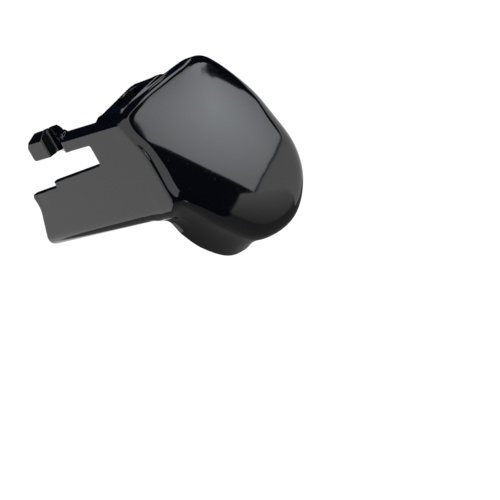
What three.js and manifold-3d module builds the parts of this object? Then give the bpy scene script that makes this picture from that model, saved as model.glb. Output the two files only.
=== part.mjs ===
// Shift lever cover plate: one injection-moulded shell in gloss black plastic.
// A bulging cap closes the front of the lever head. A skirt runs back from the cap's edge.
// On the outer side a channel-shaped arm runs further back, split by an open-ended slot.
// The thin upper bar ends in a hook, and a flat lug with the screw hole stands on top.
// Frame: +X is the way the cap faces, -Y is the outer side, +Z is up. Lengths are in mm.
// The shapes are drawn from the arm's upper ridge, where it runs into the cap, and the whole
// is then moved so that the origin is on the lug's top face, beside the screw hole.
import * as THREE from 'three';
import { mergeVertices } from 'three/addons/utils/BufferGeometryUtils.js';
import Module from 'manifold-3d';

const wasm = await Module();
wasm.setup();

// Walls
const wall = 1.8;

// Cap: its size seen from the front, and the driving sizes of its edge and skirt
const capWidth = 31.4;
const capHeight = 44.7;
const capTop = 4.3;
const capMiddleDepth = 18.0;
const crownSlant = 0.45;
const crownBulge = 4.2;
const edgeSoft = 5.0;
const edgeLift = 2.7;
const skirtDepth = 8.0;
const skirtSpread = 3.0;
const rimFace = 3.2;
const formMiddle = 4.0;
const copyBack = 0.6;
const hollowSoft = 0.6;

// Outline of the cap as shares of those sizes: where the point lies across the width and down
// the height, then the skirt's depth, the edge's softness, how far the skirt spreads towards
// the back, and how far the edge is lifted forwards
const capOutline = [
  { across: 0.008, down: 0.145, depth: 1.25, soft: 0.32, spread: 0, lift: 0.15 },
  { across: 0.038, down: 0.078, depth: 0.5, soft: 0.32, spread: 0, lift: 0 },
  { across: 0.158, down: 0.045, depth: 0.38, soft: 0.28, spread: 0, lift: 0 },
  { across: 0.332, down: 0.025, depth: 0.25, soft: 0.28, spread: 0, lift: 0 },
  { across: 0.506, down: 0.011, depth: -0.12, soft: 0.28, spread: 0, lift: 0 },
  { across: 0.675, down: 0, depth: -0.62, soft: 0.4, spread: 0, lift: 0 },
  { across: 0.78, down: 0.082, depth: -0.62, soft: 0.6, spread: 0, lift: 0 },
  { across: 0.905, down: 0.28, depth: -0.12, soft: 0.8, spread: 0, lift: 0 },
  { across: 0.965, down: 0.445, depth: 0.38, soft: 1, spread: 0, lift: 0 },
  { across: 1, down: 0.655, depth: 0.62, soft: 1, spread: 0.17, lift: 0 },
  { across: 0.93, down: 0.852, depth: 0.75, soft: 1, spread: 0.4, lift: 0 },
  { across: 0.74, down: 0.991, depth: 0.94, soft: 0.9, spread: 0.73, lift: 0 },
  { across: 0.49, down: 0.991, depth: 1, soft: 0.76, spread: 0.85, lift: 0 },
  { across: 0.304, down: 0.861, depth: 1, soft: 0.64, spread: 0.9, lift: 0.4 },
  { across: 0.15, down: 0.7, depth: 1, soft: 0.48, spread: 0.38, lift: 0.9 },
  { across: 0.032, down: 0.544, depth: 1.25, soft: 0.36, spread: 0, lift: 1 },
  { across: 0.028, down: 0.365, depth: 1.5, soft: 0.32, spread: 0, lift: 0.95 },
  { across: 0.025, down: 0.242, depth: 1.5, soft: 0.32, spread: 0, lift: 0.7 },
].map((point) => ({
  y: point.across * capWidth,
  z: capTop - point.down * capHeight,
  back: -point.depth * skirtDepth,
  soft: point.soft * edgeSoft,
  spread: point.spread * skirtSpread,
  lift: point.lift * edgeLift,
}));
const capMiddle = { y: 0.475 * capWidth, z: -capMiddleDepth };

// Arm: a channel open towards the lever, its outer face on y = 0
const armEnd = 49.8;
const armEndTop = 44.8;
const endNotch = 0.3;
const endNotchDrop = 3.2;
const armFront = 1.9;
const armFrontTop = 2.4;
const armFrontLow = 6.0;
const armFrontRise = 8.5;
const armFrontFall = 3.5;
const armHeight = 25.2;
const armCorner = 4.0;
const returnDepth = 7.0;
const barHeight = 3.0;
const barDepth = 2.5;
const ridgeRise = 0.62;
const slotFront = 15.0;
const slotWidth = 4.7;
const slotFlare = 1.0;
const stepBack = 34.2;
const stepDrop = 1.3;
const cutSlant = 0.4;
const fingerDrop = 0.5;
const endCorner = 1.6;
const tipCorner = 0.8;

// Hook at the end of the upper bar
const barEnd = 23.8;
const hookStart = 26.4;
const hookEnd = 36.3;
const hookPad = 6.1;
const hookRise = 3.1;
const hookPlate = 2.0;
const hookOverlap = 1.0;
const hookStep = 0.4;
const hookLean = 0.6;
const padChamfer = 2.4;
const padSlope = 1.3;

// Lug with the screw hole, tilted with the top of the cap
const lugTilt = THREE.MathUtils.degToRad(10.6);
const lugHeight = 1.65;
const lugBack = 10.0;
const lugInner = 14.2;
const lugOuter = 3.0;
const lugFront = -1.2;
const lugFrontInner = 3.2;
const lugCorner = 1.6;
const lugBlend = 1.4;
const lugBlendDip = 0.3;
const lugSkew = 2.2;
const lugFrontStep = 0.6;
const holeDiameter = 7.2;
const holeX = -4.2;
const holeY = 9.2;
const seatX = 0.6;
const seatY = 12.4;

// Fineness of the round shapes
const aroundSteps = 90;
const arcSteps = 10;

// How far a cutting shape reaches past what it cuts
const cutClear = 1;

// Turns a closed geometry into a solid that can be joined and cut
function solid(geometry) {
  const bare = geometry.clone();
  bare.deleteAttribute('normal');
  bare.deleteAttribute('uv');
  const merged = mergeVertices(bare, 1e-4);
  return new wasm.Manifold(new wasm.Mesh({
    numProp: 3,
    vertProperties: new Float32Array(merged.attributes.position.array),
    triVerts: new Uint32Array(merged.index.array),
  }));
}

// Turns a joined and cut solid back into a geometry
function geometryOf(body) {
  const mesh = body.getMesh();
  const geometry = new THREE.BufferGeometry();
  geometry.setAttribute('position', new THREE.BufferAttribute(mesh.vertProperties, 3));
  geometry.setIndex(new THREE.BufferAttribute(mesh.triVerts, 1));
  geometry.computeVertexNormals();
  return geometry;
}

// Extrudes a shape drawn as y, z along x
function alongX(shape, from, to) {
  const geometry = new THREE.ExtrudeGeometry(shape, {
    depth: to - from, bevelEnabled: false, curveSegments: arcSteps,
  });
  const axes = new THREE.Matrix4().makeBasis(
    new THREE.Vector3(0, 1, 0), new THREE.Vector3(0, 0, 1), new THREE.Vector3(1, 0, 0));
  geometry.applyMatrix4(axes.setPosition(from, 0, 0));
  return solid(geometry);
}

// Extrudes a shape drawn as z, x along y
function alongY(shape, from, to) {
  const geometry = new THREE.ExtrudeGeometry(shape, {
    depth: to - from, bevelEnabled: false, curveSegments: arcSteps,
  });
  const axes = new THREE.Matrix4().makeBasis(
    new THREE.Vector3(0, 0, 1), new THREE.Vector3(1, 0, 0), new THREE.Vector3(0, 1, 0));
  geometry.applyMatrix4(axes.setPosition(0, from, 0));
  return solid(geometry);
}

function polygon(points) {
  return new THREE.Shape(points.map(([first, second]) => new THREE.Vector2(first, second)));
}

// Cap surface: the closed outline carries its edge values along as a second curve
const outlineCurve = new THREE.CatmullRomCurve3(
  capOutline.map((p) => new THREE.Vector3(p.back, p.y, p.z)), true, 'catmullrom', 0.5);
const edgeCurve = new THREE.CatmullRomCurve3(
  capOutline.map((p) => new THREE.Vector3(p.soft, p.spread, p.lift)), true, 'catmullrom', 0.5);

const edgeSteps = Array.from({ length: aroundSteps }, (_, i) => edgeCurve.getPoint(i / aroundSteps));

// Spreads the edge's lift over the crown, as evenly as a stretched skin would lie
function liftAt(turn, share) {
  const reach = Math.min(share, 0.999);
  let total = 0;
  let weight = 0;
  edgeSteps.forEach(({ z: lift }, i) => {
    const apart = 2 * Math.PI * (i - turn) / aroundSteps;
    const pull = 1 / (1 - 2 * reach * Math.cos(apart) + reach * reach);
    total += pull * lift;
    weight += pull;
  });
  return total / weight;
}

function crownX(y, turn, share) {
  return crownSlant * y + crownBulge * (1 - share * share) + liftAt(turn, share);
}

// One closed body of the cap's form, drawn in by inset and set back by the same amount
function capBody(inset, backExtra, backMiddle) {
  const rings = [];
  for (let i = 0; i < aroundSteps; i += 1) {
    const edge = outlineCurve.getPoint(i / aroundSteps);
    const { x: softness, y: spread } = edgeSteps[i];
    const dy = edge.y - capMiddle.y;
    const dz = edge.z - capMiddle.z;
    const radius = Math.hypot(dy, dz);
    const at = (x, reach) => [
      x, capMiddle.y + dy * reach / radius, capMiddle.z + dz * reach / radius];
    const back = edge.x - backExtra;
    const reach = radius - inset;
    const soft = inset > 0 ? softness * hollowSoft : softness;
    const column = [at(back, reach + spread - rimFace), at(back, reach + spread)];
    const skirtFront = crownX(edge.y, i, 1) - inset - soft;
    for (const share of [0.35, 0.7]) {
      column.push(at(back + (skirtFront - back) * share, reach + spread * (1 - share) ** 2));
    }
    for (const step of [0, 0.25, 0.5, 0.75, 1]) {
      const drawn = soft * step * step;
      const [, y, z] = at(0, reach - drawn);
      const drop = (Math.sqrt(soft) - Math.sqrt(drawn)) ** 2;
      column.push([crownX(y, i, (reach - drawn) / reach) - inset - drop, y, z]);
    }
    for (const share of [0.8, 0.6, 0.4, 0.2]) {
      const [, y, z] = at(0, (reach - soft) * share);
      column.push([crownX(y, i, (reach - soft) * share / reach) - inset, y, z]);
    }
    rings.push(column);
  }
  const count = rings[0].length;
  const positions = rings.flat(2);
  positions.push(backMiddle, capMiddle.y, capMiddle.z);
  positions.push(crownX(capMiddle.y, 0, 0) - inset, capMiddle.y, capMiddle.z);
  const backCentre = aroundSteps * count;
  const frontCentre = backCentre + 1;
  const index = [];
  for (let i = 0; i < aroundSteps; i += 1) {
    const here = i * count;
    const next = ((i + 1) % aroundSteps) * count;
    for (let j = 0; j + 1 < count; j += 1) {
      index.push(here + j, here + j + 1, next + j + 1, here + j, next + j + 1, next + j);
    }
    index.push(backCentre, here, next);
    index.push(frontCentre, next + count - 1, here + count - 1);
  }
  const geometry = new THREE.BufferGeometry();
  geometry.setAttribute('position', new THREE.Float32BufferAttribute(positions, 3));
  geometry.setIndex(index);
  return solid(geometry);
}

// Arm: the channel's section along x, cut to its side outline
function armBody() {
  const section = new THREE.Shape();
  section.moveTo(0, 0);
  section.lineTo(0, -armHeight + armCorner);
  section.absarc(armCorner, -armHeight + armCorner, armCorner, Math.PI, 1.5 * Math.PI, false);
  section.lineTo(returnDepth, -armHeight);
  section.lineTo(returnDepth, -armHeight + wall);
  section.lineTo(armCorner, -armHeight + wall);
  section.absarc(armCorner, -armHeight + armCorner, armCorner - wall, 1.5 * Math.PI, Math.PI, true);
  section.lineTo(wall, -barHeight);
  section.lineTo(barDepth, -barHeight);
  section.lineTo(barDepth, barDepth * ridgeRise);
  section.closePath();
  const slotLow = -barHeight - slotWidth;
  const fingerTop = slotLow - slotFlare - stepDrop;
  const tip = fingerTop - fingerDrop;
  const side = polygon([
    [barDepth, -armFrontTop],
    [barDepth, -barEnd],
    [-barHeight, -barEnd - cutSlant],
    [-barHeight, -slotFront],
    [slotLow, -slotFront],
    [slotLow - slotFlare, -stepBack],
    [fingerTop, -stepBack - cutSlant],
    [tip, -armEndTop + 2 * tipCorner],
    [tip - tipCorner, -armEndTop],
    [tip - tipCorner - endNotchDrop, -armEndTop + endNotch],
    [-armHeight, -armEnd],
    [-armHeight - endCorner, -armEnd + endCorner],
    [-armHeight - endCorner, -armFrontLow],
    [-armHeight + armFrontFall, armFront],
    [-armFrontRise, armFront],
    [-barHeight, -armFrontTop + armFront],
  ]);
  return alongX(section, -armEnd, armFront).intersect(alongY(side, -cutClear, returnDepth + cutClear));
}

// Hook: a raised plate behind, with an outer pad at its end and a recess beside the bar
function hookBody() {
  const plate = polygon([
    [-barHeight, -barEnd + hookOverlap],
    [barDepth * ridgeRise - hookStep, -barEnd + hookOverlap],
    [barDepth * ridgeRise - hookStep, -hookStart],
    [hookRise, -hookStart - hookLean],
    [hookRise, -hookEnd + padChamfer],
    [hookRise - padChamfer, -hookEnd],
    [-barHeight, -hookEnd],
  ]);
  const pad = polygon([
    [0, -barHeight],
    [0, hookRise - padSlope],
    [hookPlate, hookRise],
    [hookPlate + hookStep, hookRise],
    [hookPlate + hookStep, -barHeight],
  ]);
  const outline = polygon([
    [-barHeight, -hookEnd + hookPad],
    [hookRise, -hookEnd + hookPad],
    [hookRise, -hookEnd + padChamfer],
    [hookRise - padChamfer, -hookEnd],
    [-barHeight, -hookEnd],
  ]);
  const padSolid = alongX(pad, -hookEnd - cutClear, -hookEnd + hookPad)
    .intersect(alongY(outline, -cutClear, hookPlate + cutClear));
  return alongY(plate, hookPlate - hookStep, 2 * hookPlate).add(padSolid);
}

// Lug: a flat plate with a round hole, drawn from above and tilted about x
function lugBodies() {
  const plan = new THREE.Shape();
  plan.moveTo(lugFront, lugOuter);
  plan.lineTo(-lugBack - lugBlend, lugOuter - lugBlendDip);
  plan.quadraticCurveTo(-lugBack - lugBlendDip, lugOuter, -lugBack, lugOuter + lugBlend);
  plan.lineTo(-lugBack + lugSkew, lugInner - lugCorner);
  plan.quadraticCurveTo(-lugBack + lugSkew, lugInner, -lugBack + lugSkew + lugCorner, lugInner);
  plan.lineTo(lugFrontInner, lugInner + lugFrontStep);
  plan.closePath();
  const plate = new THREE.ExtrudeGeometry(plan, {
    depth: wall, bevelEnabled: false, curveSegments: arcSteps,
  });
  const drill = new THREE.CylinderGeometry(
    holeDiameter / 2, holeDiameter / 2, 4 * wall, 4 * arcSteps);
  drill.rotateX(Math.PI / 2);
  drill.translate(holeX, holeY, wall / 2);
  const tilt = new THREE.Matrix4().makeRotationX(lugTilt).setPosition(0, 0, lugHeight);
  tilt.multiply(new THREE.Matrix4().makeTranslation(0, 0, -wall));
  return [plate, drill].map((geometry) => solid(geometry.applyMatrix4(tilt)));
}

// The cap's form less a smaller copy of it leaves the shell, open at the back
const hollowMiddle = Math.min(...capOutline.map((point) => point.back)) - copyBack;
const [lugPlate, lugHole] = lugBodies();
const body = capBody(0, 0, formMiddle)
  .add(armBody())
  .subtract(capBody(wall, copyBack, hollowMiddle))
  .add(lugPlate)
  .add(hookBody())
  .subtract(lugHole);

const glossBlack = new THREE.MeshStandardMaterial({
  color: 0x0b0c0f, roughness: 0.12, metalness: 0,
});
const coverPlate = new THREE.Mesh(geometryOf(body), glossBlack);
coverPlate.name = 'cover_plate';

coverPlate.position.set(
  -seatX, -seatY * Math.cos(lugTilt), -lugHeight - seatY * Math.sin(lugTilt));

const group = new THREE.Group();
group.add(coverPlate);
export default group;
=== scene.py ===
import math

import bmesh
import bpy
import numpy as np
from mathutils import Matrix, Vector


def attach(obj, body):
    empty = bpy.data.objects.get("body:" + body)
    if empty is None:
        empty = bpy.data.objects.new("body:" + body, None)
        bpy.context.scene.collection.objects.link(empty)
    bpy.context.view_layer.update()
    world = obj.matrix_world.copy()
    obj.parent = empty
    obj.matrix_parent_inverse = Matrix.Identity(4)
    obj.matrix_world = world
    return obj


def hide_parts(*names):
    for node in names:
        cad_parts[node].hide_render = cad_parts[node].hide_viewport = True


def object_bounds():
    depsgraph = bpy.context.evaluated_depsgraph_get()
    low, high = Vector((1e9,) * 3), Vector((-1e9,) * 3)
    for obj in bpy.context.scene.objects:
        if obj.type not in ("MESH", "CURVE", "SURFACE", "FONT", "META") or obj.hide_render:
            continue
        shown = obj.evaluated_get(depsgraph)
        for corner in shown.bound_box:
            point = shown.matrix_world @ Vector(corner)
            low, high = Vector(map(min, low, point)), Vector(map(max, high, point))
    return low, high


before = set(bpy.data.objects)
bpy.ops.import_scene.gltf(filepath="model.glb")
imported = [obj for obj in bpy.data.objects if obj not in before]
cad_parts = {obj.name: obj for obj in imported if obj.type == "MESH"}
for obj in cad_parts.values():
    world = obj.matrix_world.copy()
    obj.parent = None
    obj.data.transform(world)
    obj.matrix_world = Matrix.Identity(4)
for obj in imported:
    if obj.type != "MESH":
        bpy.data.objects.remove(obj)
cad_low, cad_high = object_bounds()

# Camera
# The photograph looks at the front of the cap from the outer side, a little from above,
# through a long lens. The camera is rolled, because the cover lies askew in the photograph.
camera_place = Vector((0.36022, -0.28678, 0.07381))
camera_aim = Vector((0.01381, -0.00935, -0.04066))
camera_roll = 28.894
camera_data = bpy.data.cameras.new("camera")
camera_data.lens = 150
camera_data.sensor_width = 36
camera_data.clip_end = 10
camera = bpy.data.objects.new("camera", camera_data)
camera.location = camera_place
level = (camera_aim - camera_place).to_track_quat("-Z", "Y").to_matrix().to_4x4()
camera.matrix_world = (
    Matrix.Translation(camera_place) @ level @ Matrix.Rotation(math.radians(-camera_roll), 4, "Z"))
bpy.context.scene.collection.objects.link(camera)
bpy.context.scene.camera = camera

# Cap
# The bulging front of the cover, which closes the lever head. It is moulded in gloss black
# plastic in one shot with the arm, the hook and the lug, with an even wall. Its crown slants
# forwards towards the inner side, and a skirt runs back from its edge.

# Sizes are in millimetres: x runs forwards, y inwards from the arm's outer face, and z up
# from the arm's top edge. A form is a function that is below zero inside the plastic.
wall = 1.8
cap_width = 31.4
cap_height = 44.7
cap_top = 4.3
crown_slant = 0.45
crown_round = 0.0134
edge_soft = 5.0
edge_lift = 2.7
skirt_depth = 8.0
skirt_spread = 3.0
hollow_soft = 0.6
cap_middle = (0.475 * cap_width, -18.0)
outline_steps = 60
ring_count = 1440
ring_waves = 60
crown_wave_count = 9
crown_margin = 1.02

# How far each point of the outline lies across and down, then the skirt's depth, the edge's
# softness, the skirt's spread towards the back and the edge's lift forwards, all as shares
cap_outline = (
    (0.008, 0.145, 1.25, 0.32, 0, 0.15),
    (0.038, 0.078, 0.5, 0.32, 0, 0),
    (0.158, 0.045, 0.38, 0.28, 0, 0),
    (0.332, 0.025, 0.25, 0.28, 0, 0),
    (0.506, 0.011, -0.12, 0.28, 0, 0),
    (0.675, 0, -0.62, 0.4, 0, 0),
    (0.78, 0.082, -0.62, 0.6, 0, 0),
    (0.905, 0.28, -0.12, 0.8, 0, 0),
    (0.965, 0.445, 0.38, 1, 0, 0),
    (1, 0.655, 0.62, 1, 0.17, 0),
    (0.93, 0.852, 0.75, 1, 0.5, 0),
    (0.74, 0.991, 0.94, 0.9, 0.85, 0),
    (0.49, 0.991, 1, 0.76, 0.85, 0),
    (0.304, 0.861, 1, 0.64, 0.9, 0.4),
    (0.15, 0.7, 1, 0.48, 0.38, 0.9),
    (0.032, 0.544, 1.25, 0.36, 0, 1),
    (0.028, 0.365, 1.5, 0.32, 0, 0.95),
    (0.025, 0.242, 1.5, 0.32, 0, 0.7),
)


def soft_max(first, second, width):
    """Two surfaces meet in a flowing edge that starts width before the corner on each."""
    reach = np.maximum(width - np.abs(first - second), 0)
    return np.maximum(first, second) + reach * reach / (4 * width)


def share_of(distance, length):
    """Grows from zero to one over the length."""
    return np.clip(distance / length, 0, 1)


def closed_curve(points, steps):
    """A smooth closed curve through the points, with even steps between each two."""
    before, after, beyond = (np.roll(points, turn, axis=0) for turn in (1, -1, -2))
    t = (np.arange(steps) / steps)[:, None, None]
    curve = points + 0.5 * t * (after - before)
    curve = curve + t ** 2 * (before - 2.5 * points + 2 * after - 0.5 * beyond)
    curve = curve + t ** 3 * 0.5 * (3 * points - before - 3 * after + beyond)
    return curve.transpose(1, 0, 2).reshape(-1, points.shape[1])


sizes = np.array((cap_width, -cap_height, -skirt_depth, edge_soft, skirt_spread, edge_lift))
outline_points = np.array(cap_outline) * sizes + np.array((0, cap_top, 0, 0, 0, 0))
outline_curve = closed_curve(outline_points, outline_steps)
curve_across = outline_curve[:, 0] - cap_middle[0]
curve_up = outline_curve[:, 1] - cap_middle[1]
curve_angle = np.arctan2(curve_up, curve_across)
curve_order = np.argsort(curve_angle)
ring_angle = np.linspace(-math.pi, math.pi, ring_count, endpoint=False)
ring_blur = np.exp(-0.5 * (np.fft.fftfreq(ring_count, 1 / ring_count) / ring_waves) ** 2)


def ring(values):
    """Values of the outline, spread evenly over the angle and smoothed a little."""
    even = np.interp(
        ring_angle, curve_angle[curve_order], values[curve_order], period=2 * math.pi)
    return np.fft.ifft(np.fft.fft(even) * ring_blur).real


ring_reach = ring(np.hypot(curve_across, curve_up))
ring_back, ring_soft, ring_spread, ring_lift = (ring(outline_curve[:, n]) for n in (2, 3, 4, 5))


def around(angle, values):
    """The outline's value at each angle."""
    return np.interp(angle, ring_angle, values, period=2 * math.pi)


def cap_polar(p):
    """Each point's angle and distance from the cap's middle, seen from the front."""
    across = p[:, 1] - cap_middle[0]
    up = p[:, 2] - cap_middle[1]
    return np.arctan2(up, across), np.hypot(across, up)


def crown_waves(across, up):
    """The shapes that a stretched skin can take over the crown."""
    turn = (across + 1j * up) / cap_height * 2
    powers = [turn ** n for n in range(crown_wave_count)]
    return np.stack([wave.real for wave in powers] + [wave.imag for wave in powers[1:]], axis=1)


edge_across = ring_reach * np.cos(ring_angle)
edge_up = ring_reach * np.sin(ring_angle)
edge_rise = ring_lift + crown_round * ring_reach ** 2
crown_shape = np.linalg.lstsq(crown_waves(edge_across, edge_up), edge_rise, rcond=None)[0]


def crown_form(p):
    """How far a point lies in front of the crown, a skin blown out evenly from its edge."""
    angle, reach = cap_polar(p)
    reach = np.minimum(reach, crown_margin * around(angle, ring_reach))
    skin = crown_waves(reach * np.cos(angle), reach * np.sin(angle)) @ crown_shape
    return p[:, 0] - crown_slant * p[:, 1] - skin + crown_round * reach ** 2


def cap_form(p, inset):
    """Below zero inside the cap's form, drawn in by inset; it has no back."""
    angle, reach = cap_polar(p)
    edge = around(angle, ring_reach)
    back = around(angle, ring_back)
    soft = around(angle, ring_soft)
    front = crown_slant * p[:, 1] + around(angle, ring_lift) - soft
    share = np.clip((p[:, 0] - back) / (front - back), 0, 1)
    side = reach - edge - around(angle, ring_spread) * (1 - share) ** 2 + inset
    crown = crown_form(p) + inset
    return soft_max(side, crown, soft * (hollow_soft if inset else 1))


def cap_back(p):
    angle, _ = cap_polar(p)
    return around(angle, ring_back) - p[:, 0]


# Arm
# A channel, moulded with the cap, that runs back along the lever's outer side and is open
# towards the lever. A slot splits it into a thin upper bar and a wide lower finger with a
# small step in its edge.
arm_end = 49.8
arm_end_top = 44.8
end_notch = 0.3
end_notch_drop = 3.2
end_ease = 1.2
end_slope = 1.1
end_tip_drop = 1.3
end_low_round = 1.6
end_top_round = 1.1
arm_front = 1.9
arm_front_top = 2.4
arm_front_low = 6.0
arm_front_rise = 8.5
arm_front_fall = 3.5
arm_front_foot = 1.6
arm_front_ease = 1.5
arm_front_round = 0.5
arm_height = 25.2
arm_corner = 4.0
return_depth = 7.0
bar_height = 3.0
bar_depth = 2.5
bar_end = 23.8
bar_end_slant = 0.13
lip_height = 0.5
ridge_rise = 0.62
slot_front = 15.0
slot_width = 4.7
slot_flare = 1.0
step_back = 34.2
step_drop = 1.3
finger_drop = 0.5
edge_round = 0.35
fine_round = 0.3
slot_round = 0.5
dimple_place = (-42.6, -12.2)
dimple_depth = 0.12
dimple_width = 1.8
far_inside = -9.0


def rounded_max(first, second, radius):
    """Where two half spaces meet, their edge is rounded with a true radius."""
    a = np.maximum(first + radius, 0)
    b = np.maximum(second + radius, 0)
    return np.minimum(np.maximum(first, second), -radius) + np.hypot(a, b)


def eased(at, stations, values, ease):
    """A line through the stations, with its corners eased off."""
    order = np.argsort(stations)
    stations = np.array(stations)[order]
    values = np.array(values)[order]
    taps = [np.interp(at + ease * shift, stations, values) for shift in (-1, -0.5, 0, 0.5, 1)]
    return sum(taps) / len(taps)


def slot_floor(x):
    """The slot's lower edge, which falls a little towards the arm's end."""
    flare = slot_flare * (x + slot_front) / (step_back - slot_front)
    return -bar_height - slot_width + flare


def arm_slot(p):
    x, _, z = p.T
    front = rounded_max(x + slot_front, slot_floor(x) - z, slot_round)
    return rounded_max(front, z + bar_height, slot_round)


def arm_form(p):
    x, y, z = p.T
    dimple = ((x - dimple_place[0]) ** 2 + (z - dimple_place[1]) ** 2) / dimple_width ** 2
    outer_face = dimple_depth * np.exp(-dimple) - y
    top = (z - ridge_rise * y) / math.hypot(1, ridge_rise)
    front = eased(
        z,
        (-arm_height - arm_front_foot, -arm_height + arm_front_fall, -arm_front_rise,
         -bar_height, bar_depth),
        (-arm_front_low, arm_front, arm_front, -arm_front_top + arm_front, -arm_front_top),
        arm_front_ease)
    face = rounded_max(outer_face, -z - arm_height, arm_corner)
    face = rounded_max(face, x - front, arm_front_round)
    outside = rounded_max(rounded_max(face, top, fine_round), y - return_depth, edge_round)
    lip = share_of(z + bar_height + lip_height, lip_height)
    inner = wall + (bar_depth - wall) * lip
    hollow = rounded_max(inner - y, -z - arm_height + wall, arm_corner - wall)
    channel = rounded_max(outside, -hollow, edge_round)

    slot_low = -bar_height - slot_width
    finger_top = slot_low - slot_flare - step_drop
    step = finger_top + finger_drop * (x + step_back) / (arm_end_top - step_back)
    open_end = rounded_max(x + bar_end - bar_end_slant * z, slot_floor(x) - z, fine_round)
    step_cut = rounded_max(x + step_back, step - z, fine_round)
    cut = np.minimum(np.minimum(arm_slot(p), open_end), step_cut)
    channel = rounded_max(channel, -cut, slot_round)

    end_tip = finger_top - end_tip_drop
    end = eased(
        z,
        (-arm_height, end_tip - end_notch_drop, end_tip, 0),
        (arm_end, arm_end_top - end_notch, arm_end_top, arm_end_top), end_ease)
    end_face = -(x + end) / end_slope
    end_face = rounded_max(end_face, -z - arm_height, end_low_round)
    finger_edge = np.where(x < -step_back, z - step, far_inside)
    end_face = rounded_max(end_face, finger_edge, end_top_round)
    return rounded_max(channel, end_face, edge_round)


# Hook
# The end of the upper bar, of the same plastic, steps up and inwards into a plate, and a pad
# stands out from the plate's end to catch behind the lever head's rib.
hook_start = 26.4
hook_end = 36.8
hook_pad = 6.6
hook_rise = 3.1
hook_plate = 2.0
hook_corner = 0.6
hook_bevel = 1.2
hook_step = 0.9
plate_root = 1.0
plate_depth = 4.8
plate_widening = 3.0
plate_step = 0.4
plate_slope = 0.55
plate_slope_start = 0.5
pad_chamfer = 2.4
pad_slope = 0.65
pad_overlap = 0.5
pad_blend = 0.8


def soft_min(first, second, width):
    return -soft_max(-first, -second, width)


def hook_form(p):
    x, y, z = p.T
    low = -z - bar_height
    chamfer = (z - x - hook_rise - hook_end + pad_chamfer) / math.sqrt(2)
    back = rounded_max(-x - hook_end, chamfer, hook_corner)
    step = share_of(x + hook_start + hook_step, hook_step)
    height = hook_rise - (hook_rise - bar_depth * ridge_rise) * step
    top = np.maximum(z - height, (z - y - hook_bevel) / math.sqrt(2))
    behind_bar = -x - bar_end
    recess = plate_step + plate_slope * np.maximum(behind_bar - plate_slope_start, 0)
    widening = share_of(behind_bar + plate_root, plate_widening)
    inner = bar_depth + (plate_depth - bar_depth) * widening
    plate_side = rounded_max(recess - y, y - inner, edge_round)
    plate = rounded_max(low, top, edge_round)
    plate = rounded_max(plate, np.maximum(back, -behind_bar - plate_root), fine_round)
    plate = rounded_max(plate, plate_side, fine_round)
    pad_top = (z - hook_rise + pad_slope * (hook_plate - y)) / math.hypot(1, pad_slope)
    pad_side = rounded_max(-y, y - hook_plate - pad_overlap, edge_round)
    pad_ends = np.maximum(x + hook_end - hook_pad, back)
    pad = rounded_max(rounded_max(low, pad_top, edge_round), pad_ends, fine_round)
    pad = rounded_max(pad, pad_side, fine_round)
    return soft_min(plate, pad, pad_blend)


# Lug
# A flat plate of the same plastic on top of the cap and the bar, tilted with the cap's top.
# It has the round hole for the fixing screw, with a short collar under it.
lug_tilt = math.radians(10.6)
lug_height = 1.65
lug_back = 10.0
lug_inner = 14.2
lug_outer = 3.0
lug_skew = 2.2
lug_taper = 0.06
lug_root = 0.6
lug_front = 1.5
lug_front_skew = 0.3
lug_corner = 1.6
hole_radius = 3.6
hole_x = -4.2
hole_y = 9.2
hole_depth = 7.0
collar_wall = 1.2
collar_drop = 2.4
collar_root = 0.3


def lug_axes(p):
    """A point's place along the tilted plate and above its top face."""
    rise = p[:, 2] - lug_height
    along = p[:, 1] * math.cos(lug_tilt) + rise * math.sin(lug_tilt)
    above = rise * math.cos(lug_tilt) - p[:, 1] * math.sin(lug_tilt)
    return along, above


def lug_form(p):
    along, above = lug_axes(p)
    slant = lug_skew / (lug_inner - lug_outer)
    back = -(p[:, 0] + lug_back - slant * (along - lug_outer)) / math.hypot(1, slant)
    inner = along - lug_inner - lug_taper * (p[:, 0] + lug_back - lug_skew)
    plan = rounded_max(back, inner, lug_corner)
    plan = np.maximum(plan, lug_outer - lug_root - along)
    plan = np.maximum(plan, p[:, 0] + lug_front - lug_front_skew * (along - lug_outer))
    return rounded_max(plan, np.abs(above + wall / 2) - wall / 2, fine_round)


def lug_hole(p):
    along, above = lug_axes(p)
    reach = np.hypot(p[:, 0] - hole_x, along - hole_y)
    return np.maximum(reach - hole_radius, -above - hole_depth)


def lug_collar(p):
    """A short collar under the plate, which lengthens the hole."""
    _, above = lug_axes(p)
    half = collar_drop / 2
    length = np.abs(above + wall - collar_root + half) - half
    return rounded_max(lug_hole(p) - collar_wall, length, fine_round)


# Cover plate
# The whole moulding in gloss black plastic: cap, arm, hook and lug run into each other,
# hollow behind the cap. A screw through the lug holds it. Its origin is the screw seat on
# the lug's top face, beside the hole.
MM = 0.001
seat_x = 0.6
seat_y = 12.4
ridge = -np.array((
    seat_x, seat_y * math.cos(lug_tilt), lug_height + seat_y * math.sin(lug_tilt)))
arm_blend = 3.0
arm_blend_start = 17.0
arm_blend_length = 7.0
crease_blend = 1.1
crown_blend = 1.5
cap_tuck = 1.0
tuck_start = 3.0
tuck_length = 4.0
tuck_fade = 5.0
skirt_round = 0.5
hook_blend = 0.8
hollow_reach = 0.6
collar_blend = 0.5
lug_blend = 1.6
hole_round = 0.25


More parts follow.
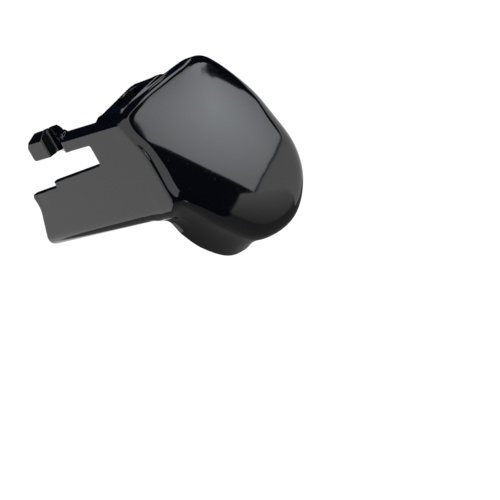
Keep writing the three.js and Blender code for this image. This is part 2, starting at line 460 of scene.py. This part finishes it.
def cover_form(p):
    """Below zero inside the plastic, above zero outside."""
    x, y, z = p.T
    behind = share_of(-x - tuck_start, tuck_length) * share_of(z + arm_height + tuck_fade, tuck_fade)
    cap = rounded_max(cap_form(p, 0) + cap_tuck * behind, cap_back(p), skirt_round)
    low = share_of(-z - arm_blend_start, arm_blend_length)
    width = crease_blend + (arm_blend - crease_blend) * low * low * (3 - 2 * low)
    arm = soft_max(arm_form(p), crown_form(p), crown_blend)
    whole = soft_min(cap, arm, width)
    whole = soft_min(whole, hook_form(p), hook_blend)
    whole = rounded_max(whole, -arm_slot(p), fine_round)
    whole = rounded_max(whole, -y, fine_round)
    hollow = np.maximum(cap_form(p, wall), cap_back(p) - hollow_reach)
    whole = rounded_max(whole, -hollow, edge_round)
    lug = soft_min(lug_form(p), lug_collar(p), collar_blend)
    whole = soft_min(whole, lug, lug_blend)
    return rounded_max(whole, -lug_hole(p), hole_round)


tube_steps = 64
voxel = 0.34
gradient_step = 0.08
fitting_turns = 9
smoothing_turns = (2, 4, 6)
smoothing = 0.5
longest_move = 0.6
flattest = 0.2


def steepest(p):
    """The way out of the surface at each point, and how fast the form grows that way."""
    grow = np.empty_like(p)
    for axis in range(3):
        offset = np.zeros(3)
        offset[axis] = gradient_step
        grow[:, axis] = (cover_form(p + offset) - cover_form(p - offset)) / (2 * gradient_step)
    return grow


def collar_mesh():
    """The collar as a plain tube, which the remeshing joins to the lug."""
    outer = hole_radius + collar_wall
    top = collar_root - wall
    low = top - collar_drop
    corners = ((hole_radius, top), (outer, top), (outer, low), (hole_radius, low))
    sides = len(corners)
    along_way = np.array((0, math.cos(lug_tilt), math.sin(lug_tilt)))
    up_way = np.array((0, -math.sin(lug_tilt), math.cos(lug_tilt)))
    middle = np.array((hole_x, 0, lug_height)) + hole_y * along_way
    points = []
    for angle in np.arange(tube_steps) * 2 * math.pi / tube_steps:
        out_way = np.array((math.cos(angle), 0, 0)) + math.sin(angle) * along_way
        for reach, rise in corners:
            points.append((middle + reach * out_way + rise * up_way + ridge) * MM)
    faces = []
    for n in range(tube_steps):
        here = sides * n
        beyond = sides * ((n + 1) % tube_steps)
        for k in range(sides):
            turn = (k + 1) % sides
            faces.append((here + k, here + turn, beyond + turn, beyond + k))
    return points, faces


cover_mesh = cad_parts["cover_plate"].data.copy()
cover_mesh.name = "cover"
rough_form = bmesh.new()
rough_form.from_mesh(cover_mesh)
tube_points, tube_faces = collar_mesh()
tube_corners = [rough_form.verts.new(point) for point in tube_points]
tube = [rough_form.faces.new([tube_corners[n] for n in face]) for face in tube_faces]
bmesh.ops.recalc_face_normals(rough_form, faces=tube)
rough_form.to_mesh(cover_mesh)
rough_form.free()
cover = bpy.data.objects.new("cover", cover_mesh)
bpy.context.scene.collection.objects.link(cover)
bpy.context.view_layer.objects.active = cover
fine = cover.modifiers.new("fine", "REMESH")
fine.mode = "VOXEL"
fine.voxel_size = voxel * MM
fine.use_smooth_shade = True
bpy.context.view_layer.update()
made = bpy.data.meshes.new_from_object(cover.evaluated_get(bpy.context.evaluated_depsgraph_get()))
cover.modifiers.clear()
cover.data = made

count = len(made.vertices)
place = np.empty(count * 3)
made.vertices.foreach_get("co", place)
place = place.reshape(-1, 3) / MM - ridge
ends = np.empty(len(made.edges) * 2, dtype=int)
made.edges.foreach_get("vertices", ends)
ends = ends.reshape(-1, 2)
neighbours = np.bincount(ends.ravel(), minlength=count)[:, None]
for turn in range(fitting_turns):
    if turn in smoothing_turns:
        total = np.zeros_like(place)
        for axis in range(3):
            total[:, axis] = (np.bincount(ends[:, 0], place[ends[:, 1], axis], count)
                              + np.bincount(ends[:, 1], place[ends[:, 0], axis], count))
        place += smoothing * (total / neighbours - place)
    grow = steepest(place)
    length = np.maximum((grow ** 2).sum(1), flattest)
    move = -cover_form(place) / length
    place += np.clip(move, -longest_move, longest_move)[:, None] * grow
outward = steepest(place)
outward /= np.linalg.norm(outward, axis=1)[:, None]
made.vertices.foreach_set("co", ((place + ridge) * MM).ravel())
made.update()
made.shade_smooth()
made.normals_split_custom_set_from_vertices(outward)
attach(cover, "root")
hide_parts("cover_plate")


def effect_group(name, inputs, outputs):
    """An empty node group with float inputs and their values, and named outputs."""
    group = bpy.data.node_groups.new(name, "ShaderNodeTree")
    for title, value in inputs:
        socket = group.interface.new_socket(title, in_out="INPUT", socket_type="NodeSocketFloat")
        socket.default_value = value
    for title in outputs:
        group.interface.new_socket(title, in_out="OUTPUT", socket_type="NodeSocketFloat")
    return group, group.nodes.new("NodeGroupInput"), group.nodes.new("NodeGroupOutput")


def noise(nodes, links, where, scale, detail):
    texture = nodes.new("ShaderNodeTexNoise")
    texture.inputs["Scale"].default_value = scale
    texture.inputs["Detail"].default_value = detail
    links.new(where, texture.inputs["Vector"])
    return texture.outputs["Fac"]


def math_node(nodes, links, operation, *values):
    node = nodes.new("ShaderNodeMath")
    node.operation = operation
    for socket, value in zip(node.inputs, values):
        if isinstance(value, (int, float)):
            socket.default_value = value
        else:
            links.new(value, socket)
    return node.outputs[0]


def ranged(nodes, links, value, low, high):
    """A value's share of the way from low to high, held between zero and one."""
    node = nodes.new("ShaderNodeMapRange")
    node.inputs["From Min"].default_value = low
    node.inputs["From Max"].default_value = high
    links.new(value, node.inputs["Value"])
    return node.outputs["Result"]


def moulded_surface():
    """A polished mould's long waves and fine grain, as a height, and its sink marks, as a mask."""
    group, given, put_out = effect_group(
        "moulded surface", (("Grain", 0.15),), ("Height", "Sink"))
    nodes, links = group.nodes, group.links
    where = nodes.new("ShaderNodeTexCoord").outputs["Object"]
    waves = noise(nodes, links, where, scale=130, detail=1)
    grain = noise(nodes, links, where, scale=2600, detail=3)
    weighed = math_node(nodes, links, "MULTIPLY", grain, given.outputs["Grain"])
    links.new(math_node(nodes, links, "ADD", waves, weighed), put_out.inputs["Height"])
    sink = noise(nodes, links, where, scale=45, detail=2)
    links.new(ranged(nodes, links, sink, low=0.4, high=0.7), put_out.inputs["Sink"])
    return group


def handling_marks():
    """Hairlines from wiping along the cover, and fine dust, each as a mask."""
    group, given, put_out = effect_group(
        "handling marks", (("Hairlines", 0.5), ("Dust", 0.5)), ("Hairlines", "Dust"))
    nodes, links = group.nodes, group.links
    where = nodes.new("ShaderNodeTexCoord").outputs["Object"]
    stretched = nodes.new("ShaderNodeMapping")
    stretched.inputs["Rotation"].default_value = (0.3, 0.9, 0.5)
    stretched.inputs["Scale"].default_value = (60, 2600, 900)
    links.new(where, stretched.inputs["Vector"])
    lines = noise(nodes, links, stretched.outputs[0], scale=1, detail=2)
    lines = ranged(nodes, links, lines, low=0.66, high=0.74)
    patches = noise(nodes, links, where, scale=90, detail=2)
    patches = ranged(nodes, links, patches, low=0.45, high=0.65)
    lines = math_node(nodes, links, "MULTIPLY", lines, patches)
    lines = math_node(nodes, links, "MULTIPLY", lines, given.outputs["Hairlines"])
    links.new(lines, put_out.inputs["Hairlines"])
    specks = nodes.new("ShaderNodeTexVoronoi")
    specks.inputs["Scale"].default_value = 700
    links.new(where, specks.inputs["Vector"])
    motes = ranged(nodes, links, specks.outputs["Distance"], low=0.12, high=0.04)
    motes = math_node(nodes, links, "MULTIPLY", motes, given.outputs["Dust"])
    links.new(motes, put_out.inputs["Dust"])
    return group


def worn_edges():
    """Where the moulding's outer edges have been rubbed, as a mask."""
    group, given, put_out = effect_group("worn edges", (("Wear", 0.5),), ("Edges",))
    nodes, links = group.nodes, group.links
    where = nodes.new("ShaderNodeTexCoord").outputs["Object"]
    shape = nodes.new("ShaderNodeNewGeometry")
    edges = ranged(nodes, links, shape.outputs["Pointiness"], low=0.53, high=0.6)
    patches = noise(nodes, links, where, scale=300, detail=4)
    patches = ranged(nodes, links, patches, low=0.42, high=0.62)
    edges = math_node(nodes, links, "MULTIPLY", edges, patches)
    edges = math_node(nodes, links, "MULTIPLY", edges, given.outputs["Wear"])
    links.new(edges, put_out.inputs["Edges"])
    return group


gloss_black = bpy.data.materials.new("gloss black")
gloss_black.use_nodes = True
nodes, links = gloss_black.node_tree.nodes, gloss_black.node_tree.links
shader = nodes["Principled BSDF"]
shader.inputs["IOR"].default_value = 1.6
effects = []
for group, values in (
        (moulded_surface(), {"Grain": 0.12}),
        (handling_marks(), {"Hairlines": 0.6, "Dust": 0.5}),
        (worn_edges(), {"Wear": 0.6})):
    effect = nodes.new("ShaderNodeGroup")
    effect.node_tree = group
    for title, value in values.items():
        effect.inputs[title].default_value = value
    effects.append(effect.outputs)
surface, marks, wear = effects

plastic_black = (0.002, 0.0024, 0.0034, 1)
rubbed_black = (0.02, 0.02, 0.022, 1)
dust_grey = (0.12, 0.12, 0.12, 1)
dust_cover = 0.25
gloss_rough = 0.055
sink_rough = 0.025
hairline_rough = 0.12
worn_rough = 0.15
dust_rough = 0.3


def blended(share, first, second):
    """A colour between two, by a mask."""
    node = nodes.new("ShaderNodeMix")
    node.data_type = "RGBA"
    links.new(share, node.inputs["Factor"])
    for socket, colour in ((node.inputs["A"], first), (node.inputs["B"], second)):
        if isinstance(colour, tuple):
            socket.default_value = colour
        else:
            links.new(colour, socket)
    return node.outputs["Result"]


rubbed = blended(wear["Edges"], plastic_black, rubbed_black)
dusty = math_node(nodes, links, "MULTIPLY", marks["Dust"], dust_cover)
links.new(blended(dusty, rubbed, dust_grey), shader.inputs["Base Color"])
rough = math_node(nodes, links, "MULTIPLY_ADD", surface["Sink"], sink_rough, gloss_rough)
for mask, added in (
        (marks["Hairlines"], hairline_rough),
        (wear["Edges"], worn_rough),
        (marks["Dust"], dust_rough)):
    rough = math_node(nodes, links, "MULTIPLY_ADD", mask, added, rough)
links.new(rough, shader.inputs["Roughness"])
ripple = nodes.new("ShaderNodeBump")
ripple.inputs["Strength"].default_value = 0.25
ripple.inputs["Distance"].default_value = 0.00002
links.new(surface["Height"], ripple.inputs["Height"])
links.new(ripple.outputs["Normal"], shader.inputs["Normal"])
cover.data.materials.clear()
cover.data.materials.append(gloss_black)

# Studio
# A plain pale floor well below the cover, which is held up by its screw lug, under even
# light. A softbox in front, a strip lamp above and dark cards round them show only in the
# gloss of the plastic.
floor_drop = 0.12
floor_level = cad_low.z - floor_drop
floor_reach = 3.0
floor_colour = (0.82, 0.82, 0.82, 1)
floor_added = 0.45
sky_even = 0.7
sky_added = 0.3
white = (1, 1, 1, 1)


def rectangle(across, up):
    """The corners of a rectangle between two limits each way."""
    return [(across[0], up[0]), (across[1], up[0]), (across[1], up[1]), (across[0], up[1])]


def sheet_of(name, corners, material):
    """A flat sheet of the studio with the given corners."""
    mesh = bpy.data.meshes.new(name)
    mesh.from_pydata(corners, [], [range(len(corners))])
    mesh.materials.append(material)
    made_sheet = bpy.data.objects.new(name, mesh)
    bpy.context.scene.collection.objects.link(made_sheet)
    return made_sheet


def seen_or_mirrored(tree):
    """One where a ray comes from the camera or from gloss or glass, else zero."""
    ray = tree.nodes.new("ShaderNodeLightPath")
    seen = math_node(tree.nodes, tree.links, "MAXIMUM",
                     ray.outputs["Is Camera Ray"], ray.outputs["Is Glossy Ray"])
    return math_node(tree.nodes, tree.links, "MAXIMUM", seen, ray.outputs["Is Transmission Ray"])


pale_floor = bpy.data.materials.new("pale floor")
pale_floor.use_nodes = True
floor_nodes, floor_links = pale_floor.node_tree.nodes, pale_floor.node_tree.links
floor_shader = floor_nodes["Principled BSDF"]
floor_shader.inputs["Base Color"].default_value = floor_colour
floor_shader.inputs["Roughness"].default_value = 0.9
floor_shader.inputs["Specular IOR Level"].default_value = 0
floor_shader.inputs["Emission Color"].default_value = white
floor_glow = math_node(
    floor_nodes, floor_links, "MULTIPLY", seen_or_mirrored(pale_floor.node_tree), floor_added)
floor_links.new(floor_glow, floor_shader.inputs["Emission Strength"])
floor_span = (-floor_reach, floor_reach)
sheet_of("floor", [(x, y, floor_level) for x, y in rectangle(floor_span, floor_span)], pale_floor)

world = bpy.data.worlds.new("studio")
bpy.context.scene.world = world
world.use_nodes = True
sky_nodes, sky_links = world.node_tree.nodes, world.node_tree.links
sky_nodes["Background"].inputs["Color"].default_value = white
sky = math_node(
    sky_nodes, sky_links, "MULTIPLY_ADD", seen_or_mirrored(world.node_tree), sky_added, sky_even)
sky_links.new(sky, sky_nodes["Background"].inputs["Strength"])

key_aim = Vector((0, 0, -0.03))
key_data = bpy.data.lights.new("key", "AREA")
key_data.size = 0.35
key_data.energy = 0.9
key = bpy.data.objects.new("key", key_data)
key.location = (0.30, -0.05, 0.42)
key.rotation_euler = (key_aim - key.location).to_track_quat("-Z", "Y").to_euler()
key.visible_glossy = False
key.visible_camera = False
bpy.context.scene.collection.objects.link(key)


def gloss_sheet(name, corners, material):
    """A sheet that shows only in the gloss of the plastic."""
    sheet = sheet_of(name, corners, material)
    sheet.visible_camera = False
    sheet.visible_diffuse = False
    sheet.visible_transmission = False
    sheet.visible_shadow = False


def even_glow(name, colour, strength=1.0):
    """A material that looks equally bright from everywhere."""
    material = bpy.data.materials.new(name)
    material.use_nodes = True
    face = material.node_tree.nodes["Principled BSDF"]
    face.inputs["Base Color"].default_value = (0, 0, 0, 1)
    face.inputs["Specular IOR Level"].default_value = 0
    face.inputs["Emission Color"].default_value = colour
    face.inputs["Emission Strength"].default_value = strength
    return material


# The softbox stands in front of the cover. It is brightest in its middle.
softbox_place = 0.158
softbox_corners = (
    (-0.0215, -0.138), (0.009, -0.109), (0.041, -0.089), (0.087, -0.071), (0.133, -0.059),
    (0.21, -0.005), (0.11, 0.013), (0.039, 0.044), (0.015, 0.061), (-0.01, 0.14), (-0.012, 0.28),
    (-0.035, 0.29), (-0.073, 0.13), (-0.105, 0.078), (-0.13, 0.022))
softbox_middle = (softbox_place, 0.01, 0.02)
softbox_radius = 0.13
softbox_even = 2.15
softbox_added = 1.9
softbox_white = even_glow("softbox white", (0.92, 0.96, 1.0, 1))
box_nodes, box_links = softbox_white.node_tree.nodes, softbox_white.node_tree.links
away = box_nodes.new("ShaderNodeVectorMath")
away.operation = "DISTANCE"
box_links.new(box_nodes.new("ShaderNodeTexCoord").outputs["Object"], away.inputs[0])
away.inputs[1].default_value = softbox_middle
near = ranged(box_nodes, box_links, away.outputs["Value"], low=softbox_radius, high=0.0)
glow = math_node(box_nodes, box_links, "MULTIPLY_ADD", near, softbox_added, softbox_even)
box_links.new(glow, box_nodes["Principled BSDF"].inputs["Emission Strength"])
gloss_sheet("softbox", [(softbox_place, y, z) for y, z in softbox_corners], softbox_white)

# Black cards hide the pale room: in front round the softbox, behind, above and beside.
card_black = even_glow("card black", (0.1, 0.35, 0.9, 1), strength=0.025)
rim = 0.0045
card_set_back = 0.0004
card_top = 0.34
back_place = -0.20
side_place = 0.35
along_cover = (back_place, softbox_place)
under_softbox = [(y, z - rim) for y, z in softbox_corners[4:0:-1]]
front_card = [
    (-0.0205, -0.138 - rim), (-0.07, -0.166), (-0.24, -0.166), (-0.24, card_top), (0.5, card_top),
    (0.5, 0.0)] + under_softbox
gloss_sheet("front card", [(softbox_place + card_set_back, y, z) for y, z in front_card], card_black)
back_card = rectangle((-0.3, side_place), (-0.02, card_top))
gloss_sheet("back card", [(back_place, y, z) for y, z in back_card], card_black)
top_card = rectangle(along_cover, (-0.3, 0.5))
gloss_sheet("top card", [(x, y, card_top) for x, y in top_card], card_black)
side_card = rectangle(along_cover, (0.02, card_top))
gloss_sheet("side card", [(x, side_place, z) for x, z in side_card], card_black)

# A grey card lies below and is brighter towards the front, with a black wedge over it.
low_place = -0.14
fade_start = 0.08
low_card_even = 0.18
low_card_added = 0.9
card_grey = even_glow("card grey", white)
grey_nodes, grey_links = card_grey.node_tree.nodes, card_grey.node_tree.links
split = grey_nodes.new("ShaderNodeSeparateXYZ")
grey_links.new(grey_nodes.new("ShaderNodeTexCoord").outputs["Object"], split.inputs[0])
front_share = ranged(grey_nodes, grey_links, split.outputs["X"], low=fade_start, high=softbox_place)
fade = math_node(
    grey_nodes, grey_links, "MULTIPLY_ADD", front_share, low_card_added, low_card_even)
grey_links.new(fade, grey_nodes["Principled BSDF"].inputs["Emission Strength"])
low_card = (
    (back_place, -0.12), (softbox_place, -0.12), (softbox_place, 0.05), (0.06, 0.07), (0, 0.2),
    (back_place, 0.2))
gloss_sheet("low card", [(x, y, low_place) for x, y in low_card], card_grey)
low_wedge = (
    (softbox_place, -0.045), (0.107, -0.055), (0.07, -0.058), (0.03, -0.066), (0.02, -0.25),
    (softbox_place, -0.25))
gloss_sheet("low wedge", [(x, y, low_place + card_set_back) for x, y in low_wedge], card_black)

# A strip lamp above draws the light line along the cover's top edges.
strip_white = even_glow("strip white", white, strength=2.2)
strip_height = 0.335
strip_width = 0.035
strip_line = [(0.125, -0.45), (0.09, -0.08), (-0.116, 0.098), (-0.24, 0.19)]
strip_back = [(x + strip_width, y + strip_width) for x, y in strip_line[::-1]]
gloss_sheet("strip lamp", [(x, y, strip_height) for x, y in strip_line + strip_back], strip_white)

bpy.context.scene.view_settings.view_transform = "Standard"
